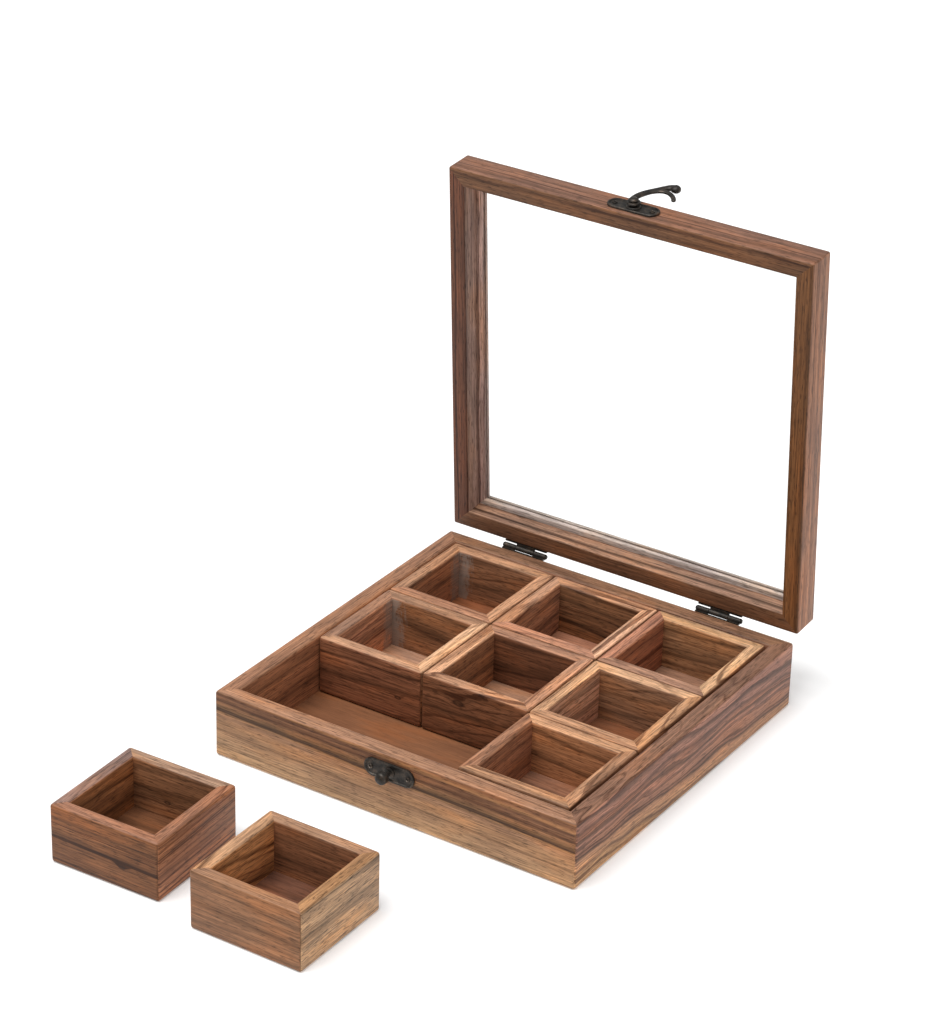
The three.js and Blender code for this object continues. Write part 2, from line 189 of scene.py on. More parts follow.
def add_node(tree, kind, inputs, stops=(), **settings):
    """Adds a node. Inputs are numbers, colours or the sockets to link, and stops are a ramp's."""
    made = tree.nodes.new(kind)
    for key, value in settings.items():
        setattr(made, key, value)
    for key, value in inputs.items():
        if isinstance(value, bpy.types.NodeSocket):
            tree.links.new(value, made.inputs[key])
        else:
            made.inputs[key].default_value = value
    for number, (place, colour) in enumerate(stops):
        elements = made.color_ramp.elements
        stop = elements[number] if number < 2 else elements.new(place)
        stop.position = place
        stop.color = colour
    return made


def new_material(name):
    material = bpy.data.materials.new(name)
    material.use_nodes = True
    material.node_tree.nodes.clear()
    return material, material.node_tree


def grey(value):
    return (value, value, value, 1)


def tones(colour, low, high):
    """Colours across the rings, as (millimetres, linear colour). A single hex is spread into
    lighter and darker zones of itself."""
    if not isinstance(colour, str):
        return [(place, paint(code)) for place, code in colour]
    base = paint(colour)[:3]
    zones = (
        (0, 0.86), (0.2, 1.12), (0.38, 1.0), (0.45, 0.58), (0.52, 0.96), (0.68, 1.16),
        (0.73, 0.66), (0.79, 1.08), (1, 0.88),
    )
    return [
        (low + share * (high - low), [channel * level for channel in base] + [1])
        for share, level in zones
    ]


def sheesham(
    name, board, faces, lean, reach=20, wave=5, tilt=0, streak=0.5, grain=1, seed=0, knot=None,
    glue=None,
):
    """Oiled sheesham. The board matrix gives its centre and its grain along local X. Faces are
    (axis, millimetres where it starts, where it is full, colours), the first one for the whole
    board; the later faces' colours hold painted light and shade as well as their own tone.
    Lean is how the rings lie in local Y and Z, and wave is how many millimetres they wander
    along the grain. Dark pore lines and fibres follow the grain."""
    material, tree = new_material(name)
    source = random.Random(seed)
    shift = [source.uniform(-900, 900) for _ in range(3)]
    place = add_node(
        tree, "ShaderNodeMapping",
        {
            "Vector": add_node(tree, "ShaderNodeTexCoord", {}).outputs["Object"],
            "Location": board.translation,
            "Rotation": board.to_euler(),
            "Scale": (MM, MM, MM),
        },
        vector_type="TEXTURE",
    ).outputs[0]
    parts = add_node(tree, "ShaderNodeSeparateXYZ", {"Vector": place}).outputs

    # Noises whose blotches are about these millimetres long, wide and deep. Fibres are about a
    # tenth of a millimetre wide, and drawn 0.5 mm wide so that they show.
    noises = {}
    for use, lengths, detail, roughness, extra in (
        ("wander", (110, 24, 24), 2, 0.5, 0),
        ("ripple", (22, 5, 5), 2, 0.5, 40),
        ("patches", (70, 12, 12), 1, 0.5, 80),
        ("fibre", (24, 0.7, 0.7), 3, 0.6, 120),
        ("pore", (5, 0.55, 0.55), 1.5, 0.5, 160),
        ("blotch", (40, 11, 11), 3, 0.5, 200),
        ("ragged", (4, 4, 9), 4, 0.8, 240),
    ):
        if use == "ragged" and not glue:
            continue
        stretched = add_node(
            tree, "ShaderNodeMapping",
            {
                "Vector": place,
                "Location": [(s + extra) / 50 for s in shift],
                "Scale": [1 / length for length in lengths],
            },
        ).outputs[0]
        noises[use] = add_node(
            tree, "ShaderNodeTexNoise",
            {"Vector": stretched, "Scale": 1, "Detail": detail, "Roughness": roughness},
        ).outputs[0]

    # The rings: how far across them each point lies, in millimetres, with a wander and a
    # ripple along the grain.
    rings = add_node(
        tree, "ShaderNodeVectorMath", {0: place, 1: (tilt, lean[0], lean[1])},
        operation="DOT_PRODUCT",
    ).outputs["Value"]
    for use, strength in (("wander", wave * 2.2), ("ripple", wave * 0.35)):
        swing = add_node(
            tree, "ShaderNodeMath", {0: noises[use], 1: 0.5}, operation="SUBTRACT"
        ).outputs[0]
        rings = add_node(
            tree, "ShaderNodeMath", {0: swing, 1: strength, 2: rings}, operation="MULTIPLY_ADD"
        ).outputs[0]
    if knot:
        # The rings part round a small knot, at local X, Y and Z, of the fourth number's size.
        size = knot[3]
        moved = add_node(
            tree, "ShaderNodeVectorMath", {0: place, 1: knot[:3]}, operation="SUBTRACT"
        ).outputs[0]
        flat = add_node(
            tree, "ShaderNodeVectorMath", {0: moved, 1: (0.5, 1, 1)}, operation="MULTIPLY"
        ).outputs[0]
        away = add_node(
            tree, "ShaderNodeVectorMath", {0: flat}, operation="LENGTH"
        ).outputs["Value"]
        swell = add_node(
            tree, "ShaderNodeMapRange", {"Value": away, "From Min": size * 4, "From Max": 0},
            interpolation_type="SMOOTHSTEP",
        ).outputs[0]
        rings = add_node(
            tree, "ShaderNodeMath", {0: swell, 1: size * 2.2, 2: rings}, operation="MULTIPLY_ADD"
        ).outputs[0]

    # Growth zones: uneven dark lines, 1 to 4 mm apart, that come and go along the board.
    growth = add_node(
        tree, "ShaderNodeMath", {0: rings, 1: 0.42, 2: shift[0]}, operation="MULTIPLY_ADD"
    ).outputs[0]
    zones = add_node(
        tree, "ShaderNodeTexNoise",
        {"W": growth, "Scale": 1, "Detail": 3.5, "Roughness": 0.62}, noise_dimensions="1D",
    ).outputs[0]
    dark = add_node(
        tree, "ShaderNodeMapRange", {"Value": zones, "From Min": 0.5, "From Max": 0.68},
        interpolation_type="SMOOTHSTEP",
    ).outputs[0]
    patchy = add_node(
        tree, "ShaderNodeMath", {0: dark, 1: noises["patches"]}, operation="MULTIPLY"
    ).outputs[0]
    lines = add_node(
        tree, "ShaderNodeMath", {0: patchy, 1: streak * 2.6}, operation="MULTIPLY"
    ).outputs[0]

    # The board's own colours across the rings, and each cut face's over them. These face colours
    # hold painted light and shade, lighter on rims and darker inside, as well as the wood's tone.
    tone = None
    for axis, start, full, colour in faces:
        stops = tones(colour, -reach, reach)
        low, high = stops[0][0], stops[-1][0]
        across = add_node(
            tree, "ShaderNodeMapRange", {"Value": rings, "From Min": low, "From Max": high}
        ).outputs[0]
        shown = add_node(
            tree, "ShaderNodeValToRGB", {"Fac": across},
            stops=[((r - low) / (high - low), code) for r, code in stops],
        ).outputs[0]
        if tone:
            on_face = add_node(
                tree, "ShaderNodeMapRange",
                {"Value": parts[axis], "From Min": start, "From Max": full},
                interpolation_type="SMOOTHSTEP",
            ).outputs[0]
            shown = add_node(
                tree, "ShaderNodeMix", {0: on_face, 6: tone, 7: shown}, data_type="RGBA"
            ).outputs[2]
        tone = shown
    shadow = add_node(
        tree, "ShaderNodeMix", {0: 1.0, 6: tone, 7: (0.36, 0.30, 0.27, 1)},
        data_type="RGBA", blend_type="MULTIPLY",
    ).outputs[2]
    tone = add_node(
        tree, "ShaderNodeMix", {0: lines, 6: tone, 7: shadow}, data_type="RGBA"
    ).outputs[2]

    # Warmer and greyer blotches, and the light and dark of the fibres and the open pores.
    warmth = add_node(
        tree, "ShaderNodeValToRGB", {"Fac": noises["blotch"]},
        stops=[(0.28, (0.78, 0.77, 0.80, 1)), (0.5, grey(1)), (0.72, (1.24, 1.07, 0.88, 1))],
    ).outputs[0]
    tone = add_node(
        tree, "ShaderNodeMix", {0: 1.0, 6: tone, 7: warmth},
        data_type="RGBA", blend_type="MULTIPLY",
    ).outputs[2]
    pore = add_node(
        tree, "ShaderNodeMapRange", {"Value": noises["pore"], "From Min": 0.55, "From Max": 0.68},
        interpolation_type="SMOOTHSTEP",
    ).outputs[0]
    centred = add_node(
        tree, "ShaderNodeMath", {0: noises["fibre"], 1: 0.5}, operation="SUBTRACT"
    ).outputs[0]
    shade = add_node(
        tree, "ShaderNodeMath", {0: centred, 1: 2.5 * grain, 2: 1.06}, operation="MULTIPLY_ADD"
    ).outputs[0]
    open_grain = add_node(
        tree, "ShaderNodeMath", {0: pore, 1: -0.5 * grain, 2: 1.0}, operation="MULTIPLY_ADD"
    ).outputs[0]
    shade = add_node(
        tree, "ShaderNodeMath", {0: shade, 1: open_grain}, operation="MULTIPLY"
    ).outputs[0]
    tone = add_node(
        tree, "ShaderNodeVectorMath", {0: tone, "Scale": shade}, operation="SCALE"
    ).outputs[0]
    rough = add_node(
        tree, "ShaderNodeMath", {0: noises["fibre"], 1: 0.2, 2: 0.38}, operation="MULTIPLY_ADD"
    ).outputs[0]
    if knot:
        # A dark ring of bark round the knot's heart.
        bark = 0.75
        for start, full in ((size * 1.3, size * 0.8), (0, size * 0.9)):
            edge = add_node(
                tree, "ShaderNodeMapRange", {"Value": away, "From Min": start, "From Max": full},
                interpolation_type="SMOOTHSTEP",
            ).outputs[0]
            bark = add_node(
                tree, "ShaderNodeMath", {0: edge, 1: bark}, operation="MULTIPLY"
            ).outputs[0]
        tone = add_node(
            tree, "ShaderNodeMix", {0: bark, 6: tone, 7: paint("2c1a13")}, data_type="RGBA"
        ).outputs[2]
    if glue:
        # Dried glue that squeezed out of a corner: a bead in the corner itself, and beside it
        # a thin glossy grey film with a ragged edge, where it was wiped.
        corner, face = glue
        off = add_node(
            tree, "ShaderNodeMath", {0: parts["X"], 1: corner}, operation="SUBTRACT"
        ).outputs[0]
        off = add_node(tree, "ShaderNodeMath", {0: off}, operation="ABSOLUTE").outputs[0]
        layers = []
        for start, full, most in ((19, 1, 1), (1.5, 0.5, 0.9)):
            near = add_node(
                tree, "ShaderNodeMapRange",
                {"Value": off, "From Min": start, "From Max": full, "To Max": most},
                interpolation_type="SMOOTHSTEP",
            ).outputs[0]
            layers.append(add_node(
                tree, "ShaderNodeMath", {0: near, 1: noises["ragged"]}, operation="MULTIPLY"
            ).outputs[0])
        wiped, bead = layers
        film = add_node(
            tree, "ShaderNodeMapRange",
            {"Value": wiped, "From Min": 0.3, "From Max": 0.5, "To Max": 0.62},
            interpolation_type="SMOOTHSTEP",
        ).outputs[0]
        film = add_node(
            tree, "ShaderNodeMath", {0: film, 1: bead}, operation="MAXIMUM"
        ).outputs[0]
        on_face = add_node(
            tree, "ShaderNodeMapRange",
            {"Value": parts["Y"], "From Min": face - 0.25, "From Max": face - 0.1},
            interpolation_type="SMOOTHSTEP",
        ).outputs[0]
        film = add_node(
            tree, "ShaderNodeMath", {0: film, 1: on_face}, operation="MULTIPLY"
        ).outputs[0]
        tone = add_node(
            tree, "ShaderNodeMix", {0: film, 6: tone, 7: paint("968a80")}, data_type="RGBA"
        ).outputs[2]
        rough = add_node(
            tree, "ShaderNodeMath", {0: film, 1: -0.5, 2: rough}, operation="MULTIPLY_ADD"
        ).outputs[0]
    height = add_node(
        tree, "ShaderNodeMath", {0: pore, 1: -0.6, 2: noises["fibre"]}, operation="MULTIPLY_ADD"
    ).outputs[0]
    bump = add_node(
        tree, "ShaderNodeBump", {"Height": height, "Strength": 0.4, "Distance": 0.00009}
    ).outputs[0]
    shader = add_node(
        tree, "ShaderNodeBsdfPrincipled",
        {"Base Color": tone, "Roughness": rough, "Normal": bump, "IOR": 1.47,
         "Specular IOR Level": 0.25},
    )
    add_node(tree, "ShaderNodeOutputMaterial", {"Surface": shader.outputs[0]})
    return material


def board_place(whole, centre, depth_middle, height_middle, side):
    """Where a frame's side lies: its middle, with local X along it and local Y inwards."""
    turn = Matrix.Rotation(SIDES.index(side) * math.pi / 2, 4, "Z")
    middle = Matrix.Translation(Vector((0, -depth_middle, height_middle)) * MM)
    return whole @ Matrix.Translation(Vector(centre) * MM) @ turn @ middle


# Colours of each wall's outside, and of its rim and inside, as (rings' millimetres, hex). The
# rim colours hold painted light and the inside ones painted shade, over each wall's own tone.
TRAY_WOODS_AND_PAINTED_LIGHT = {
    "front": dict(
        outside=[
            (-16, "ab8763"), (-9, "a27d5c"), (-3, "9e7654"), (0.6, "9b7457"), (2.0, "8a6545"),
            (2.7, "4b3425"), (3.5, "523b28"), (4.3, "725237"), (6.0, "865e40"), (7.0, "5e3e2a"),
            (8.2, "8b6043"), (10.2, "63422f"), (11.6, "9c6e49"), (13, "7a5138"), (16, "8c6242"),
        ],
        rim="a57a5e", inside="98664a",
        lean=(0.42, 0.85), wave=1.3, tilt=0.0235, streak=0.45, seed=11,
    ),
    "right": dict(
        outside=[
            (-20, "cf9e6f"), (-14, "b48860"), (-12.5, "71513d"), (-11, "c7956d"), (-7, "ae7e5e"),
            (-5.4, "533a2c"), (-4, "8f634c"), (1, "9f6f56"), (2.2, "6f4c3d"), (3.2, "a6745d"),
            (5, "583d2f"), (6.4, "9b6a52"), (8.5, "634336"), (10, "a67560"), (13, "5f4133"),
            (14.6, "af7961"), (20, "a77861"),
        ],
        rim="8a6550", inside="8a5f48",
        lean=(-0.2, 0.9), wave=9, tilt=0.045, streak=0.7, seed=23,
    ),
    "rear": dict(
        outside="8f6b52", rim="8b664d", inside="8a5f48",
        lean=(0.5, 0.8), wave=3, tilt=0.01, streak=0.5, seed=31,
    ),
    "left": dict(
        outside="96704f", rim="9d7155", inside="b07856",
        lean=(0.5, 0.8), wave=2.5, tilt=-0.01, streak=0.45, seed=43,
    ),
}

tray_inner = HALF - TRAY_WALL
rebate = tray_inner + FLOOR_LAP
tray_ring = loft(
    "tray_ring", 4,
    [(HALF, 0), (HALF, TRAY_HEIGHT), (tray_inner, TRAY_HEIGHT), (tray_inner, FLOOR_THICKNESS),
     (rebate, FLOOR_THICKNESS), (rebate, 0)],
    closed=True,
)


def outer_arris(edge, outer, top):
    """True for the outside edges of a frame, and for the inside edge of its rim."""
    ends = [v.co / MM for v in edge.verts]
    reach = [max(abs(end.x), abs(end.y)) for end in ends]
    outside = all(r > outer - 0.01 for r in reach)
    rim = all(abs(end.z - top) < 0.01 for end in ends)
    radial = abs(reach[0] - reach[1]) > 0.01
    return not radial and (outside or rim)


round_edges(tray_ring, ARRIS, 4, lambda edge: outer_arris(edge, HALF, TRAY_HEIGHT))
for side in SIDES:
    node = f"tray_{side}_wall"
    wall = saw_mitres(tray_ring, f"tray_wall_{side}", side, Matrix.Identity(4))
    place = board_place(Matrix.Identity(4), (0, 0, 0), HALF - TRAY_WALL / 2, TRAY_HEIGHT / 2, side)
    look = TRAY_WOODS_AND_PAINTED_LIGHT[side]
    # The rim colour is painted light and the inside colour painted shade, over the wall's tone.
    faces = [
        (0, 0, 1, look.pop("outside")),
        ("Y", TRAY_WALL / 2 - 0.6, TRAY_WALL / 2 - 0.1, look.pop("inside")),
        ("Z", TRAY_HEIGHT / 2 - 1.0, TRAY_HEIGHT / 2 - 0.2, look.pop("rim")),
    ]
    wall.data.materials.append(sheesham(f"oiled_sheesham_tray_{side}", place, faces, **look))
    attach(wall, "tray")
    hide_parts(node)
bpy.data.objects.remove(tray_ring)

# ---- tray floor --------------------------------------------------------------------------
# One thin board of smooth reddish brown wood, let into a rebate under the walls. It shows
# where the two cups have been taken out, and from below.


def slab(name, low, high, arris):
    """A flat board between two corners in millimetres, its edges eased."""
    bpy.ops.object.select_all(action="DESELECT")
    size = Vector(high) - Vector(low)
    middle = (Vector(low) + Vector(high)) / 2
    bpy.ops.mesh.primitive_cube_add(size=1, location=middle * MM, scale=size * MM)
    piece = bpy.context.object
    piece.name = piece.data.name = name
    bpy.ops.object.transform_apply()
    round_edges(piece, arris, 2, lambda edge: True)
    bpy.ops.object.shade_smooth_by_angle(angle=SMOOTH_ANGLE)
    return piece


FLOOR_SLACK = 0.1  # round the board in its rebate
FLOOR_SINK = 0.02
FLOOR_EASE = 0.2  # how much its edges are eased
floor_half = rebate - FLOOR_SLACK
tray_floor = slab(
    "tray_floor_board", (-floor_half, -floor_half, 0),
    (floor_half, floor_half, FLOOR_THICKNESS - FLOOR_SINK), FLOOR_EASE,
)
tray_floor.data.materials.append(sheesham(
    "smooth_red_brown_floor_board", Matrix.Translation((0, -0.06, 0)),
    [(0, 0, 1, [(-80, "83583d"), (0, "7f543a"), (80, "865b3e")])],
    lean=(1, 0.2), wave=10, streak=0.05, grain=0.35, seed=5,
))
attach(tray_floor, "tray")
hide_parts("tray_floor_panel")

# ---- cups --------------------------------------------------------------------------------
# Nine loose square cups of the same wood, each with four mitred walls and a thin stained
# floor. They are made from offcuts, so no two walls have the same colour. Their rims are
# painted lighter and their insides darker, as painted light and shade. The corners of two
# of them hold dried glue.

CUP_HALF = 30.4
CUP_HEIGHT = 31
CUP_WALL = 7
CUP_FLOOR = 4
CUP_LAP = 2
CUP_ARRIS = 1.5
TRAY_CUPS = {
    "rear_left": (-1, 1), "rear_middle": (0, 1), "rear_right": (1, 1), "middle_left": (-1, 0),
    "centre": (0, 0), "middle_right": (1, 0), "front_right": (1, -1),
}
CUP_PITCH = 61.05
CUPS_SHIFT = (-0.65, 0.65)  # the grid of cups is pushed into the rear left corner
CUP_STAND = 0.3  # gap under the cups that the unevenness of the boards leaves
# For each cup, the rim colours of its front, right, rear and left walls. Below them are the
# inside of the rear and the left wall, the floor, and the outside of the front and the right.
# The rim colours hold painted light and the inside ones painted shade, over each wall's tone.
CUP_WOODS_AND_PAINTED_LIGHT = {
    "rear_left": (
        "af7d5f", "c79470", "c2916d", "a67c5f",
        "855b40", "9f6d50", "89563a", "8d6448", "8d6448",
    ),
    "rear_middle": (
        "b68267", "d7a684", "be8c6a", "b78a6d",
        "765137", "a47459", "a8745a", "8d6448", "8d6448",
    ),
    "rear_right": (
        "ab8066", "d4a77e", "b4906f", "b37b60",
        "906849", "ae7052", "9f775f", "8d6448", "8d6448",
    ),
    "middle_left": (
        "c09170", "deaf89", "a0785d", "936f5a",
        "855b3e", "ba8364", "ae8871", "88583e", "8d6448",
    ),
    "centre": (
        "b68768", "c19276", "a77a60", "dfa982",
        "69422d", "9a694a", "a27960", "7c5138", "8d6448",
    ),
    "middle_right": (
        "b78968", "bb8c67", "d1a37d", "d3a27a",
        "876249", "cb997b", "7b5038", "8d6448", "8d6448",
    ),
    "front_right": (
        "b98a67", "ba8a68", "cf9b73", "a47559",
        "9f6c49", "a26f53", "8d644e", "8d6448", "8d6448",
    ),
    "front_left": (
        "a17259", "a37257", "ac8970", "876c62",
        "835a3e", "9a6743", "754d34", "744b2f", "9e6a4a",
    ),
    "front_middle": (
        "9f775b", "a67b55", "ab8367", "bd916d",
        "7f553b", "c48959", "724d3c", "855e42", "ad8967",
    ),
}
cup_places = {}
for name, (column, row) in TRAY_CUPS.items():
    spot = (
        column * CUP_PITCH + CUPS_SHIFT[0], row * CUP_PITCH + CUPS_SHIFT[1],
        FLOOR_THICKNESS + CUP_STAND,
    )
    cup_places[name] = Matrix.Translation(Vector(spot) * MM)
# Two cups stand on the table in front of the box, one of them slightly turned.
cup_places["front_left"] = (
    Matrix.Translation((-0.0766, -0.1883, 0)) @ Matrix.Rotation(math.radians(1.5), 4, "Z")
)
cup_places["front_middle"] = Matrix.Translation((0.0081, -0.195, 0))

cup_inner = CUP_HALF - CUP_WALL
cup_rebate = cup_inner + CUP_LAP
cup_ring = loft(
    "cup_ring", 4,
    [(CUP_HALF, 0), (CUP_HALF, CUP_HEIGHT), (cup_inner, CUP_HEIGHT), (cup_inner, CUP_FLOOR),
     (cup_rebate, CUP_FLOOR), (cup_rebate, 0)],
    closed=True,
)
round_edges(cup_ring, CUP_ARRIS, 3, lambda edge: outer_arris(edge, CUP_HALF, CUP_HEIGHT))
cup_side = {
    side: saw_mitres(cup_ring, f"cup_side_{side}", side, Matrix.Identity(4)) for side in SIDES
}
floor_reach = cup_rebate - FLOOR_SLACK
cup_floor = slab(
    "cup_floor", (-floor_reach, -floor_reach, 0.1),
    (floor_reach, floor_reach, CUP_FLOOR - FLOOR_SINK), FLOOR_EASE,
)
KNOTS = {
    ("middle_left", "front"): (17, -3.5, -3, 0.9),
    ("centre", "front"): (-9, -3.5, 6, 1.6),
    ("front_left", "front"): (10, -3.5, -4, 0.9),
    ("front_left", "rear"): (4, 3.5, -3, 0.9),
}
# Walls whose grain is set, not drawn by chance.
CUP_GRAINS = {
    ("front_left", "front"): dict(lean=(0.2, 1), wave=1.2, tilt=0.03, streak=0.8),
    ("front_left", "right"): dict(lean=(0.2, 1), wave=1.5, tilt=-0.05, streak=0.75),
    ("front_middle", "front"): dict(lean=(0.3, 0.9), wave=2, tilt=0.03, streak=0.25, grain=0.9),
    ("front_middle", "right"): dict(lean=(0.7, 0.7), wave=3, tilt=0.02, streak=0.15, grain=1.25),
    ("front_middle", "rear"): dict(lean=(0.3, 0.9), wave=2, tilt=0, streak=0.3),
    ("middle_left", "front"): dict(lean=(0.5, 0.8), wave=5, tilt=-0.05, streak=0.5),
    ("centre", "front"): dict(lean=(0.5, 0.8), wave=10, tilt=-0.16, streak=0.75),
    ("rear_middle", "right"): dict(lean=(0.9, 0.4), wave=2, tilt=0.02, streak=0.9),
    ("rear_right", "left"): dict(lean=(0.9, 0.4), wave=2, tilt=0.01, streak=0.9),
}
GLUED = {
    ("rear_left", "left"): -cup_inner, ("rear_left", "rear"): cup_inner,
    ("middle_left", "left"): -cup_inner, ("middle_left", "rear"): cup_inner,
}
inside_face = CUP_WALL / 2
rim_face = CUP_HEIGHT / 2
for number, (name, place) in enumerate(cup_places.items()):
    woods_and_painted_light = CUP_WOODS_AND_PAINTED_LIGHT[name]
    rear_inside_with_shade, left_inside_with_shade, floor_wood, front_outside, right_outside = woods_and_painted_light[4:]
    insides_with_shade = (rear_inside_with_shade, left_inside_with_shade, rear_inside_with_shade, left_inside_with_shade)
    outsides = (front_outside, right_outside, front_outside, right_outside)
    # Each wall's rim colour is painted light and its inside colour painted shade, over its tone.
    for side, rim, inside, outside in zip(SIDES, woods_and_painted_light, insides_with_shade, outsides):
        wall = copy_of(cup_side[side], f"cup_{name}_{side}_wall", place)
        seed = number * 10 + SIDES.index(side)
        chance = random.Random(seed)
        habit = dict(
            lean=(chance.choice((-1, 1)) * chance.uniform(0.4, 0.8), chance.uniform(0.6, 0.9)),
            wave=chance.uniform(3, 6),
            tilt=chance.uniform(-0.14, 0.14),
            streak=chance.uniform(0.3, 0.65),
        )
        habit.update(CUP_GRAINS.get((name, side), {}))
        glue = GLUED.get((name, side))
        wall.data.materials.append(sheesham(
            f"oiled_sheesham_cup_{name}_{side}",
            board_place(place, (0, 0, 0), CUP_HALF - CUP_WALL / 2, CUP_HEIGHT / 2, side),
            [
                (0, 0, 1, outside),
                ("Y", inside_face - 0.5, inside_face - 0.1, inside),
                ("Z", rim_face - 0.8, rim_face - 0.2, rim),
            ],
            reach=16,
            seed=seed + 100,
            knot=KNOTS.get((name, side)),
            glue=(glue, inside_face) if glue else None,
            **habit,
        ))
        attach(wall, f"cup_{name}")
        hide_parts(f"cup_{name}_walls")
    base = copy_of(cup_floor, f"cup_{name}_base", place)
    base.data.materials.append(sheesham(
        f"stained_thin_wood_cup_{name}", place, [(0, 0, 1, floor_wood)],
        lean=(0.9, 0.3), reach=24, wave=5, streak=0.25, grain=0.6, seed=300 + number,
    ))
    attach(base, f"cup_{name}")
    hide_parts(f"cup_{name}_floor")
for spare in [*cup_side.values(), cup_ring, cup_floor]:
    bpy.data.objects.remove(spare)

# ---- lid frame ---------------------------------------------------------------------------
# Two rails and two stiles of darker sheesham, mitred, 17 mm thick. A lip stands in from each
# over the last few millimetres and is grooved for the glass. The lid stands open, almost upright.

LID_BASE = 35.7
LID_THICKNESS = 17
LID_RAIL = 9
LIP_WIDTH = 3.3
LIP_THICKNESS = 6.2
LID_ARRIS = 1.1  # outside edges
WELL_ARRIS = 0.45  # edges of the well and the lip
GLASS_THICKNESS = 2
GLASS_BITE = 1.6  # how far the pane reaches into its groove
GLASS_SLACK = 0.1
GROOVE_HALF = 1.05
AXIS = Vector((0, 104.4, 35.55)) * MM
LID_OPEN = math.radians(86.4)
open_lid = Matrix.Translation(AXIS) @ Matrix.Rotation(-LID_OPEN, 4, "X") @ Matrix.Translation(-AXIS)
# Colours of each bar's outside, underside, inner wall and lip. The underside, inner wall and
# lip colours hold painted light and shade as well as the wood's own tone.
LID_WOODS_AND_PAINTED_LIGHT = {
    "front": dict(
        outside="815d4b", under="694831", inside="6d4f3e", lip="7a5c4a",
        lean=(-0.55, 0.8), wave=2.2, streak=0.55, seed=61,
    ),
    "right": dict(
        outside="976a50", under="6b4629", inside="6f4c36", lip="7a5c4a",
        lean=(-0.8, 0.5), wave=1.6, streak=0.45, seed=67,
    ),
    "rear": dict(
        outside="6d5040", under="6c4a34", inside="97745e", lip="bbaba1",
        lean=(0.5, 0.8), wave=1.8, streak=0.6, seed=71,
    ),
    "left": dict(
        outside="7d5f50", under="5f3b2a", inside="9f8173", lip="b99a8e",
        lean=(0.75, 0.55), wave=1.8, streak=0.7, seed=83,
    ),
}
lid_top = LID_BASE + LID_THICKNESS
well = HALF - LID_RAIL
opening = well - LIP_WIDTH
lip_low = lid_top - LIP_THICKNESS
groove = (lip_low + lid_top) / 2
glass_reach = opening + GLASS_BITE
lid_ring = loft(
    "lid_ring", 4,
    [(HALF, LID_BASE), (HALF, lid_top), (opening, lid_top), (opening, groove + GROOVE_HALF),
     (glass_reach + GLASS_SLACK, groove + GROOVE_HALF),
     (glass_reach + GLASS_SLACK, groove - GROOVE_HALF), (opening, groove - GROOVE_HALF),
     (opening, lip_low), (well, lip_low), (well, LID_BASE)],
    closed=True,
)


def lid_edge(edge, kind):
    """Whether an edge is one of the frame's outside edges, or runs along its well or lip."""
    ends = [v.co / MM for v in edge.verts]
    reach = [max(abs(end.x), abs(end.y)) for end in ends]
    if abs(reach[0] - reach[1]) > 0.01:
        return False
    if kind == "outside":
        return all(r > HALF - 0.01 for r in reach)
    height = ends[0].z
    flat = abs(height - ends[1].z) < 0.01
    at_well = abs(reach[0] - well) < 0.01 and abs(height - LID_BASE) < 0.01
    lip_edge = min(abs(height - lip_low), abs(height - lid_top)) < 0.01
    at_lip = abs(reach[0] - opening) < 0.01 and lip_edge
    return flat and (at_well or at_lip)


round_edges(lid_ring, LID_ARRIS, 4, lambda edge: lid_edge(edge, "outside"))
round_edges(lid_ring, WELL_ARRIS, 3, lambda edge: lid_edge(edge, "inside"))
half_thick = LID_THICKNESS / 2
for side in SIDES:
    part = "rail" if side in ("front", "rear") else "stile"
    bar = saw_mitres(lid_ring, f"lid_frame_{side}", side, open_lid)
    place = board_place(open_lid, (0, 0, 0), HALF - LID_RAIL / 2, LID_BASE + half_thick, side)
    look = LID_WOODS_AND_PAINTED_LIGHT[side]
    # The underside, inner wall and lip colours are painted light and shade over the bar's tone.
    faces = [
        (0, 0, 1, look.pop("outside")),
        ("Y", LID_RAIL / 2 - 0.4, LID_RAIL / 2 - 0.1, look.pop("inside")),
        ("Y", LID_RAIL / 2 + 0.2, LID_RAIL / 2 + 0.5, look.pop("lip")),
        ("Z", -half_thick + 0.7, -half_thick + 0.2, look.pop("under")),
    ]
    bar.data.materials.append(sheesham(f"oiled_sheesham_lid_{side}", place, faces, reach=10, **look))
    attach(bar, "lid")
    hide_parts(f"lid_{side}_{part}")
bpy.data.objects.remove(lid_ring)

# ---- glass -------------------------------------------------------------------------------
# A 2 mm pane of clear float glass, held in the groove of the lid's lip. It has a faint smear
# and is otherwise clean.


def float_glass():
    material, tree = new_material("clear_float_glass")
    place = add_node(tree, "ShaderNodeTexCoord", {}).outputs["Object"]
    smear = add_node(
        tree, "ShaderNodeTexNoise", {"Vector": place, "Scale": 22.0, "Detail": 4.0}
    ).outputs[0]
    tint = add_node(
        tree, "ShaderNodeValToRGB", {"Fac": smear},
        stops=[(0.55, paint("fcfefd")), (0.75, paint("f6f8f8"))],
    ).outputs[0]
    glass = add_node(
        tree, "ShaderNodeBsdfPrincipled",
        {"Base Color": tint, "Roughness": 0.0, "IOR": 1.5, "Transmission Weight": 1.0},
    ).outputs[0]
    clear = add_node(tree, "ShaderNodeBsdfTransparent", {}).outputs[0]
    path = add_node(tree, "ShaderNodeLightPath", {}).outputs["Is Shadow Ray"]
    both = add_node(tree, "ShaderNodeMixShader", {0: path, 1: glass, 2: clear}).outputs[0]
    add_node(tree, "ShaderNodeOutputMaterial", {"Surface": both})
    return material


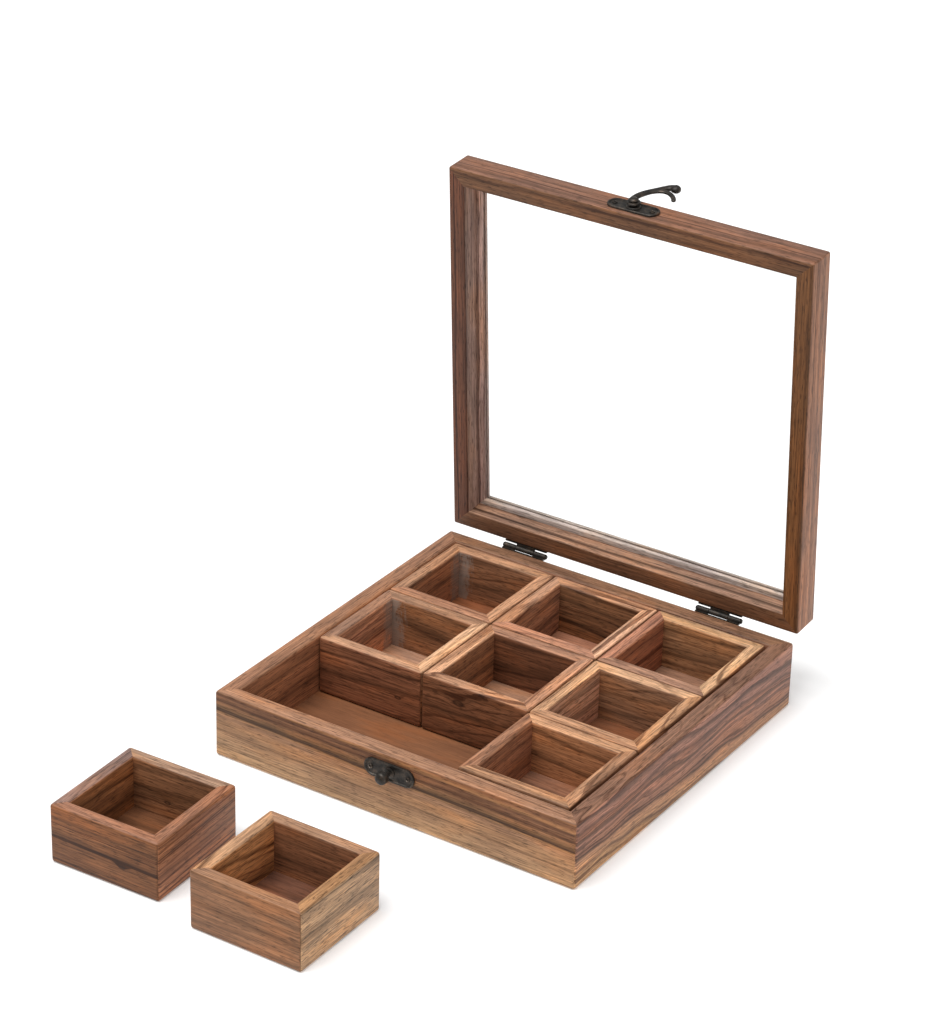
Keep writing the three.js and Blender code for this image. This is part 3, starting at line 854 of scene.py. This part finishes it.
pane = slab(
    "lid_pane", (-glass_reach, -glass_reach, groove - GLASS_THICKNESS / 2),
    (glass_reach, glass_reach, groove + GLASS_THICKNESS / 2), 0.15,
)
pane.matrix_world = open_lid
bpy.ops.object.transform_apply()
bpy.ops.object.shade_flat()
pane.data.materials.append(float_glass())
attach(pane, "lid")
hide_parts("lid_glass")

# ---- hinges ------------------------------------------------------------------------------
# Two stamped butt hinges, 25 mm long, with a dark antique bronze finish. One leaf is screwed
# to the rear of the tray and one to the rear of the lid. The tray's leaf has the two outer
# knuckles, and a loose pin with domed ends runs through all three.

HINGE_OFFSET = 57.4
HINGE_HALF = 12.5
HINGE_REACH = 10  # from the pin's axis to a leaf's far edge
LEAF_THICKNESS = 0.8
LEAF_BACK = 2.75  # from the pin's axis to the wood
BARREL = 1.4  # radius of a knuckle, and below the bore's and the pin's
BORE = 0.85
PIN = 0.72
BURR = 0.12  # taken off a knuckle's ends
MIDDLE_HALF = 5.4
KNUCKLE_GAP = 0.15
SCREW_SPREAD = 8
SCREW_DROP = 6.2  # from the pin's axis
SCREW_HEAD = 1.5
ROUND = 40  # corners of a round piece


def antique_bronze(name, worn, seed, rubbed=0.74):
    """Cast or stamped metal, plated and blackened. Rubbed patches show brown through it, and
    more of them the lower rubbed is."""
    material, tree = new_material(name)
    place = add_node(tree, "ShaderNodeTexCoord", {}).outputs["Object"]
    moved = add_node(
        tree, "ShaderNodeMapping", {"Vector": place, "Location": (seed, seed * 0.7, 0)}
    ).outputs[0]
    cloud = add_node(
        tree, "ShaderNodeTexNoise", {"Vector": moved, "Scale": 260.0, "Detail": 4.0, "Roughness": 0.6}
    ).outputs[0]
    grit = add_node(
        tree, "ShaderNodeTexNoise", {"Vector": moved, "Scale": 1500.0, "Detail": 2.0}
    ).outputs[0]
    colour = add_node(
        tree, "ShaderNodeValToRGB", {"Fac": cloud},
        stops=[(rubbed - 0.39, paint("2b2927")), (rubbed - 0.24, paint("3b3733")),
               (rubbed - 0.12, paint("4d443c")),
               (rubbed, paint(worn))],
    ).outputs[0]
    rough = add_node(
        tree, "ShaderNodeMapRange",
        {"Value": cloud, "From Min": 0.3, "From Max": 0.75, "To Min": 0.52, "To Max": 0.34},
    ).outputs[0]
    bump = add_node(
        tree, "ShaderNodeBump", {"Height": grit, "Strength": 0.5, "Distance": 0.00012}
    ).outputs[0]
    shader = add_node(
        tree, "ShaderNodeBsdfPrincipled",
        {"Base Color": colour, "Metallic": 0.75, "Roughness": rough, "Normal": bump},
    ).outputs[0]
    add_node(tree, "ShaderNodeOutputMaterial", {"Surface": shader})
    return material


BRONZE = antique_bronze("blackened_stamped_bronze", "6b5643", 0.3)
CAST_BRONZE = antique_bronze("blackened_cast_bronze", "6f5744", 0.9)
NAIL_BRONZE = antique_bronze("rubbed_bronze_nail", "776c62", 0.5, rubbed=0.64)


def join_solids(pieces, operation):
    """The first solid with the rest added to it or cut out of it, as one clean mesh."""
    base = pieces[0]
    for other in pieces[1:]:
        bpy.ops.object.select_all(action="DESELECT")
        base.select_set(True)
        bpy.context.view_layer.objects.active = base
        cut = base.modifiers.new("join", "BOOLEAN")
        cut.operation = operation
        cut.object = other
        cut.solver = "EXACT"
        bpy.ops.object.modifier_apply(modifier=cut.name)
        bpy.data.objects.remove(other)
    return base


def put(piece, move):
    """Moves a piece made at the origin to its place, and applies the move."""
    bpy.ops.object.select_all(action="DESELECT")
    piece.select_set(True)
    bpy.context.view_layer.objects.active = piece
    piece.matrix_world = move @ piece.matrix_world
    bpy.ops.object.transform_apply()
    return piece


def dome(reach, base, rise, count=6):
    """Steps of a low dome, from its rim almost to its middle."""
    angles = [step / count * math.pi / 2 for step in range(count)]
    return [(reach * math.cos(a), base + rise * math.sin(a)) for a in angles]


def slotted_screw(name):
    """A domed head with a slot, its shank down into the wood."""
    head = loft(
        name, ROUND,
        [(0.7, -5), (0.7, 0), (SCREW_HEAD, 0), (SCREW_HEAD, 0.15), *dome(SCREW_HEAD, 0.15, 0.7)],
        closed=False,
    )
    slot = slab("slot", (-2, -0.18, 0.4), (2, 0.18, 2), 0.02)
    return join_solids([head, slot], "DIFFERENCE")


def hinge_leaf(name, side, knuckles):
    """A leaf in the XY plane, its knuckles round the X axis. Side is -1 below it, 1 above."""
    near, far = sorted((side * 0.5, side * HINGE_REACH))
    leaf = slab(
        name, (-HINGE_HALF, near, -LEAF_BACK), (HINGE_HALF, far, LEAF_THICKNESS - LEAF_BACK), 0.22
    )
    parts = [leaf]
    for start, end in knuckles:
        barrel = loft(
            "barrel", ROUND,
            [(BARREL - BURR, start), (BARREL, start + BURR), (BARREL, end - BURR),
             (BARREL - BURR, end)],
            closed=False,
        )
        parts.append(put(barrel, Matrix.Rotation(math.pi / 2, 4, "Y")))
        low, high = sorted((side * 0.35, side * 1.3))
        parts.append(slab("root", (start + 0.06, low, -2.7), (end - 0.06, high, -0.3), 0.05))
    leaf = join_solids(parts, "UNION")
    bore = loft("bore", ROUND, [(BORE, -HINGE_HALF - 1), (BORE, HINGE_HALF + 1)], closed=False)
    return join_solids([leaf, put(bore, Matrix.Rotation(math.pi / 2, 4, "Y"))], "DIFFERENCE")


def rear(x, z):
    """On the closed rear face: local X to the left, Y up and Z out of the wood."""
    return (
        Matrix.Translation(Vector((x, HALF, z)) * MM)
        @ Matrix.Rotation(math.pi, 4, "Z") @ Matrix.Rotation(math.pi / 2, 4, "X")
    )


def fit(piece, body, node, material):
    piece.data.materials.clear()
    piece.data.materials.append(material)
    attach(piece, body)
    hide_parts(node)


tray_leaf = hinge_leaf(
    "tray_leaf", -1,
    [(-HINGE_HALF, -MIDDLE_HALF - KNUCKLE_GAP), (MIDDLE_HALF + KNUCKLE_GAP, HINGE_HALF)],
)
lid_leaf = hinge_leaf("lid_leaf", 1, [(-MIDDLE_HALF, MIDDLE_HALF)])
pin = loft(
    "pin", ROUND,
    [*[(r, -HINGE_HALF - 0.25 - z) for r, z in reversed(dome(1.15, 0, 0.55))],
     (PIN, -HINGE_HALF - 0.2), (PIN, HINGE_HALF + 0.2),
     *[(r, HINGE_HALF + 0.25 + z) for r, z in dome(1.15, 0, 0.55)]],
    closed=False,
)
screw = slotted_screw("screw")
standoff = AXIS.y / MM - HALF
for hinge, middle in (("left", -HINGE_OFFSET), ("right", HINGE_OFFSET)):
    at_axis = rear(middle, AXIS.z / MM) @ Matrix.Translation((0, 0, standoff * MM))
    leaf = copy_of(tray_leaf, f"{hinge}_hinge_leaf_on_tray", at_axis)
    fit(leaf, "tray", f"hinge_{hinge}_tray_leaf", BRONZE)
    leaf = copy_of(lid_leaf, f"{hinge}_hinge_leaf_on_lid", open_lid @ at_axis)
    fit(leaf, "lid", f"hinge_{hinge}_lid_leaf", BRONZE)
    rod = copy_of(pin, f"{hinge}_hinge_loose_pin", at_axis @ Matrix.Rotation(math.pi / 2, 4, "Y"))
    fit(rod, "tray", f"hinge_{hinge}_pin", BRONZE)
    for owner, side, whole in (("tray", -1, Matrix.Identity(4)), ("lid", 1, open_lid)):
        for number, along in ((1, -SCREW_SPREAD), (2, SCREW_SPREAD)):
            spot = rear(middle + along, AXIS.z / MM + side * SCREW_DROP)
            chance = random.Random(number + 5 * side + middle)
            turn = Matrix.Rotation(chance.uniform(0, math.pi), 4, "Z")
            seat = Matrix.Translation((0, 0, (LEAF_THICKNESS + 0.06) * MM))
            made = copy_of(screw, f"{hinge}_hinge_{owner}_screw_{number}", whole @ spot @ seat @ turn)
            fit(made, owner, f"hinge_{hinge}_{owner}_screw_{number}", BRONZE)
for spare in (tray_leaf, lid_leaf, pin, screw):
    bpy.data.objects.remove(spare)

# ---- latch and catch ---------------------------------------------------------------------
# A cast latch in the same finish: an oblong plate with a raised rim on the lid and another on
# the tray, each held by two small nails. An S-shaped hook with a round thumb end turns on a
# domed rivet and drops over the neck of the tray's mushroom knob.

PLATE_LENGTH = 28
PLATE_WIDTH = 9.6
PLATE_THICKNESS = 1
NAIL_SPREAD = 10.4
LATCH_Z = 43  # heights of the two plates' middles on the closed box
CATCH_Z = 26.7
HOOK_TURN = math.radians(-25)
HOOK_BACK = 2.3  # from the wood to the back of the hook
HOOK_THICKNESS = 2
FUSE_GRAIN = 0.2  # finest detail of the fused castings


def oblong_plate(name, boss_reach, boss_height):
    """An oblong plate with a raised rim round a sunk field, and a round boss in the middle."""
    bpy.ops.object.select_all(action="DESELECT")
    bpy.ops.mesh.primitive_circle_add(vertices=64, radius=PLATE_WIDTH / 2 * MM, fill_type="NGON")
    plate = bpy.context.object
    plate.name = name
    bpy.ops.object.mode_set(mode="EDIT")
    straight = (PLATE_LENGTH - PLATE_WIDTH) / 2 * MM
    for side in (1, -1):
        select(plate, "verts", lambda vert: vert.co.x * side > 1e-6)
        bpy.ops.transform.translate(value=(side * straight, 0, 0))
    bpy.ops.mesh.select_all(action="SELECT")
    bpy.ops.mesh.extrude_region_move(TRANSFORM_OT_translate={"value": (0, 0, PLATE_THICKNESS * MM)})
    for thickness, drop in ((0.3, 0.22), (0.6, 0), (0.35, -0.5)):
        bpy.ops.mesh.inset(thickness=thickness * MM, depth=drop * MM)
    bpy.ops.mesh.select_all(action="SELECT")
    bpy.ops.mesh.normals_make_consistent(inside=False)
    bpy.ops.object.mode_set(mode="OBJECT")
    top = PLATE_THICKNESS + boss_height
    boss = loft(
        "boss", ROUND,
        [(boss_reach, 0.1), (boss_reach, PLATE_THICKNESS + 0.1), (boss_reach - 0.35, top - 0.1),
         (boss_reach - 0.6, top)],
        closed=False,
    )
    return join_solids([plate, boss], "UNION")


def front_face(height):
    """On the closed front face: local X to the right, Y up and Z out of the wood."""
    return Matrix.Translation(Vector((0, -HALF, height)) * MM) @ Matrix.Rotation(math.pi / 2, 4, "X")


nail = loft(
    "nail", ROUND,
    [(0.5, -5), (0.5, 0.66), (1.3, 0.7), (1.3, 0.9), (1.15, 1.22), (0.85, 1.32), (0.6, 1.1),
     (0.5, 0.7)],
    closed=False,
)
latch_plate = oblong_plate("latch_plate_master", 3.8, 0.7)
made = copy_of(latch_plate, "latch_plate_on_lid", open_lid @ front_face(LATCH_Z))
fit(made, "lid", "latch_plate", CAST_BRONZE)
catch_plate = oblong_plate("catch_plate_master", 2.9, 0.4)
made = copy_of(catch_plate, "catch_plate_on_tray", front_face(CATCH_Z))
fit(made, "tray", "catch_plate", CAST_BRONZE)
for owner, body, height, whole in (
    ("latch", "lid", LATCH_Z, open_lid), ("catch", "tray", CATCH_Z, Matrix.Identity(4))
):
    for side, along in (("left", -NAIL_SPREAD), ("right", NAIL_SPREAD)):
        spot = whole @ front_face(height) @ Matrix.Translation((along * MM, 0, 0))
        made = copy_of(nail, f"{owner}_plate_nail_{side}", spot)
        fit(made, body, f"{owner}_nail_{side}", NAIL_BRONZE)

neck_top = HOOK_BACK + HOOK_THICKNESS + 0.3
knob = loft(
    "knob", ROUND,
    [(1.3, -6), (1.3, neck_top - 0.2), (1.6, neck_top), (2.8, neck_top + 0.4), (3.1, neck_top + 0.8),
     (3.1, neck_top + 3.1), *dome(3.02, neck_top + 3.3, 1.4)],
    closed=False,
)
made = copy_of(knob, "catch_mushroom_knob", front_face(CATCH_Z))
fit(made, "tray", "catch_knob", CAST_BRONZE)
rivet = loft(
    "rivet", ROUND,
    [(1.1, -6), (1.1, neck_top - 0.15), (2.4, neck_top - 0.15), (2.5, neck_top),
     *dome(2.5, neck_top + 0.1, 1.2)],
    closed=False,
)
made = copy_of(rivet, "latch_domed_rivet", open_lid @ front_face(LATCH_Z))
fit(made, "lid", "latch_rivet", CAST_BRONZE)


def tapered_rod(name, points):
    """A cast rod through (x, y, radius) points, rounded at its ends."""
    bpy.ops.object.select_all(action="DESELECT")
    bpy.ops.curve.primitive_nurbs_path_add()
    rod = bpy.context.object
    rod.name = name
    curve = rod.data
    curve.splines.clear()
    spline = curve.splines.new("NURBS")
    spline.points.add(len(points) - 1)
    for point, (x, y, radius) in zip(spline.points, points):
        point.co = (x * MM, y * MM, 0, 1)
        point.radius = radius
    spline.use_endpoint_u = True
    spline.order_u = 4
    curve.bevel_depth = MM
    curve.bevel_resolution = 6
    curve.resolution_u = 8
    curve.use_fill_caps = True
    bpy.ops.object.convert(target="MESH")
    return bpy.context.object


def ball(x, y, radius):
    bpy.ops.object.select_all(action="DESELECT")
    bpy.ops.mesh.primitive_uv_sphere_add(
        segments=24, ring_count=16, radius=radius * MM, location=(x * MM, y * MM, 0)
    )
    piece = bpy.context.object
    bpy.ops.object.transform_apply()
    return piece


arm = tapered_rod("hook", [
    (-1.8, -1.6, 1.4), (-3.4, 1.5, 1.7), (-4.9, 5, 1.9), (-5.6, 9.5, 1.9), (-5.4, 14, 1.8),
    (-4.9, 18, 1.7), (-4.6, 21.5, 1.8), (-3.4, 24.2, 2.1), (-1.4, 25.3, 2.3), (-0.6, 25.3, 2.3),
])
claw = tapered_rod("claw", [
    (-5.4, 10.5, 1.5), (-4.9, 14.8, 1.6), (-3.2, 18.4, 1.5), (0.2, 19.85, 1.4), (3.6, 19.55, 1.35),
    (6.6, 18.5, 1.3), (8.3, 17.4, 1.25), (8.8, 17.0, 1.2),
])
eye = loft("eye", ROUND, [(3.1, -1), (3.4, -0.7), (3.4, 0.7), (3.1, 1)], closed=False)
bpy.ops.object.select_all(action="DESELECT")
parts = [arm, claw, eye, ball(-0.9, 25.0, 2.7), ball(8.8, 17.0, 1.2)]
for part in parts:
    part.select_set(True)
bpy.context.view_layer.objects.active = arm
bpy.ops.object.join()
hook = bpy.context.object
# The castings flow into each other, so the rods are fused and then softened.
fuse = hook.modifiers.new("fuse", "REMESH")
fuse.mode = "VOXEL"
fuse.voxel_size = FUSE_GRAIN * MM
bpy.ops.object.modifier_apply(modifier=fuse.name)
soften = hook.modifiers.new("soften", "SMOOTH")
soften.factor = 0.5
soften.iterations = 8
bpy.ops.object.modifier_apply(modifier=soften.name)
for vert in hook.data.vertices:
    # The arm and claw are flatter than they are wide. The thumb end keeps its full height.
    thumb = min(max((vert.co.y / MM - 22) / 4, 0), 1)
    vert.co.z *= 0.64 + 0.16 * thumb
eye_hole = loft("eye_hole", ROUND, [(1.3, -3), (1.3, 3)], closed=False)
hook = join_solids([hook, eye_hole], "DIFFERENCE")
hook_place = (
    open_lid @ front_face(LATCH_Z)
    @ Matrix.Translation((0, 0, (HOOK_BACK + HOOK_THICKNESS / 2) * MM))
    @ Matrix.Rotation(HOOK_TURN, 4, "Z")
)
made = copy_of(hook, "latch_cast_hook", hook_place)
fit(made, "hook", "latch_hook", CAST_BRONZE)
for spare in (nail, latch_plate, catch_plate, knob, rivet, hook):
    bpy.data.objects.remove(spare)

# ---- studio ------------------------------------------------------------------------------
# A plain white table and soft white light from above and in front.

TABLE_SIZE = 30  # metres, so that its edge stays out of sight
TABLE_GLOW = 0.22
SKY_LIGHT = 0.5
KEY_LIGHT = 2.6
KEY_WIDTH = 0.7  # radians, for soft shadows
KEY_DIRECTION = Vector((0.13, 0.31, -1))

bpy.ops.mesh.primitive_plane_add(size=TABLE_SIZE, location=(0, 0, -0.0001))
table = bpy.context.object
table.name = "table"
surface, tree = new_material("white_table")
shader = add_node(
    tree, "ShaderNodeBsdfPrincipled",
    {"Base Color": grey(0.86), "Roughness": 0.9, "Specular IOR Level": 0.1,
     "Emission Color": grey(1), "Emission Strength": TABLE_GLOW},
)
add_node(tree, "ShaderNodeOutputMaterial", {"Surface": shader.outputs[0]})
table.data.materials.append(surface)
world = bpy.data.worlds.new("white_studio")
bpy.context.scene.world = world
world.use_nodes = True
sky = world.node_tree.nodes["Background"]
sky.inputs["Color"].default_value = grey(1)
sky.inputs["Strength"].default_value = SKY_LIGHT
bpy.ops.object.light_add(type="SUN")
key = bpy.context.object
key.data.energy = KEY_LIGHT
key.data.angle = KEY_WIDTH
key.rotation_euler = KEY_DIRECTION.to_track_quat("-Z", "Y").to_euler()
bpy.context.scene.view_settings.view_transform = "Standard"
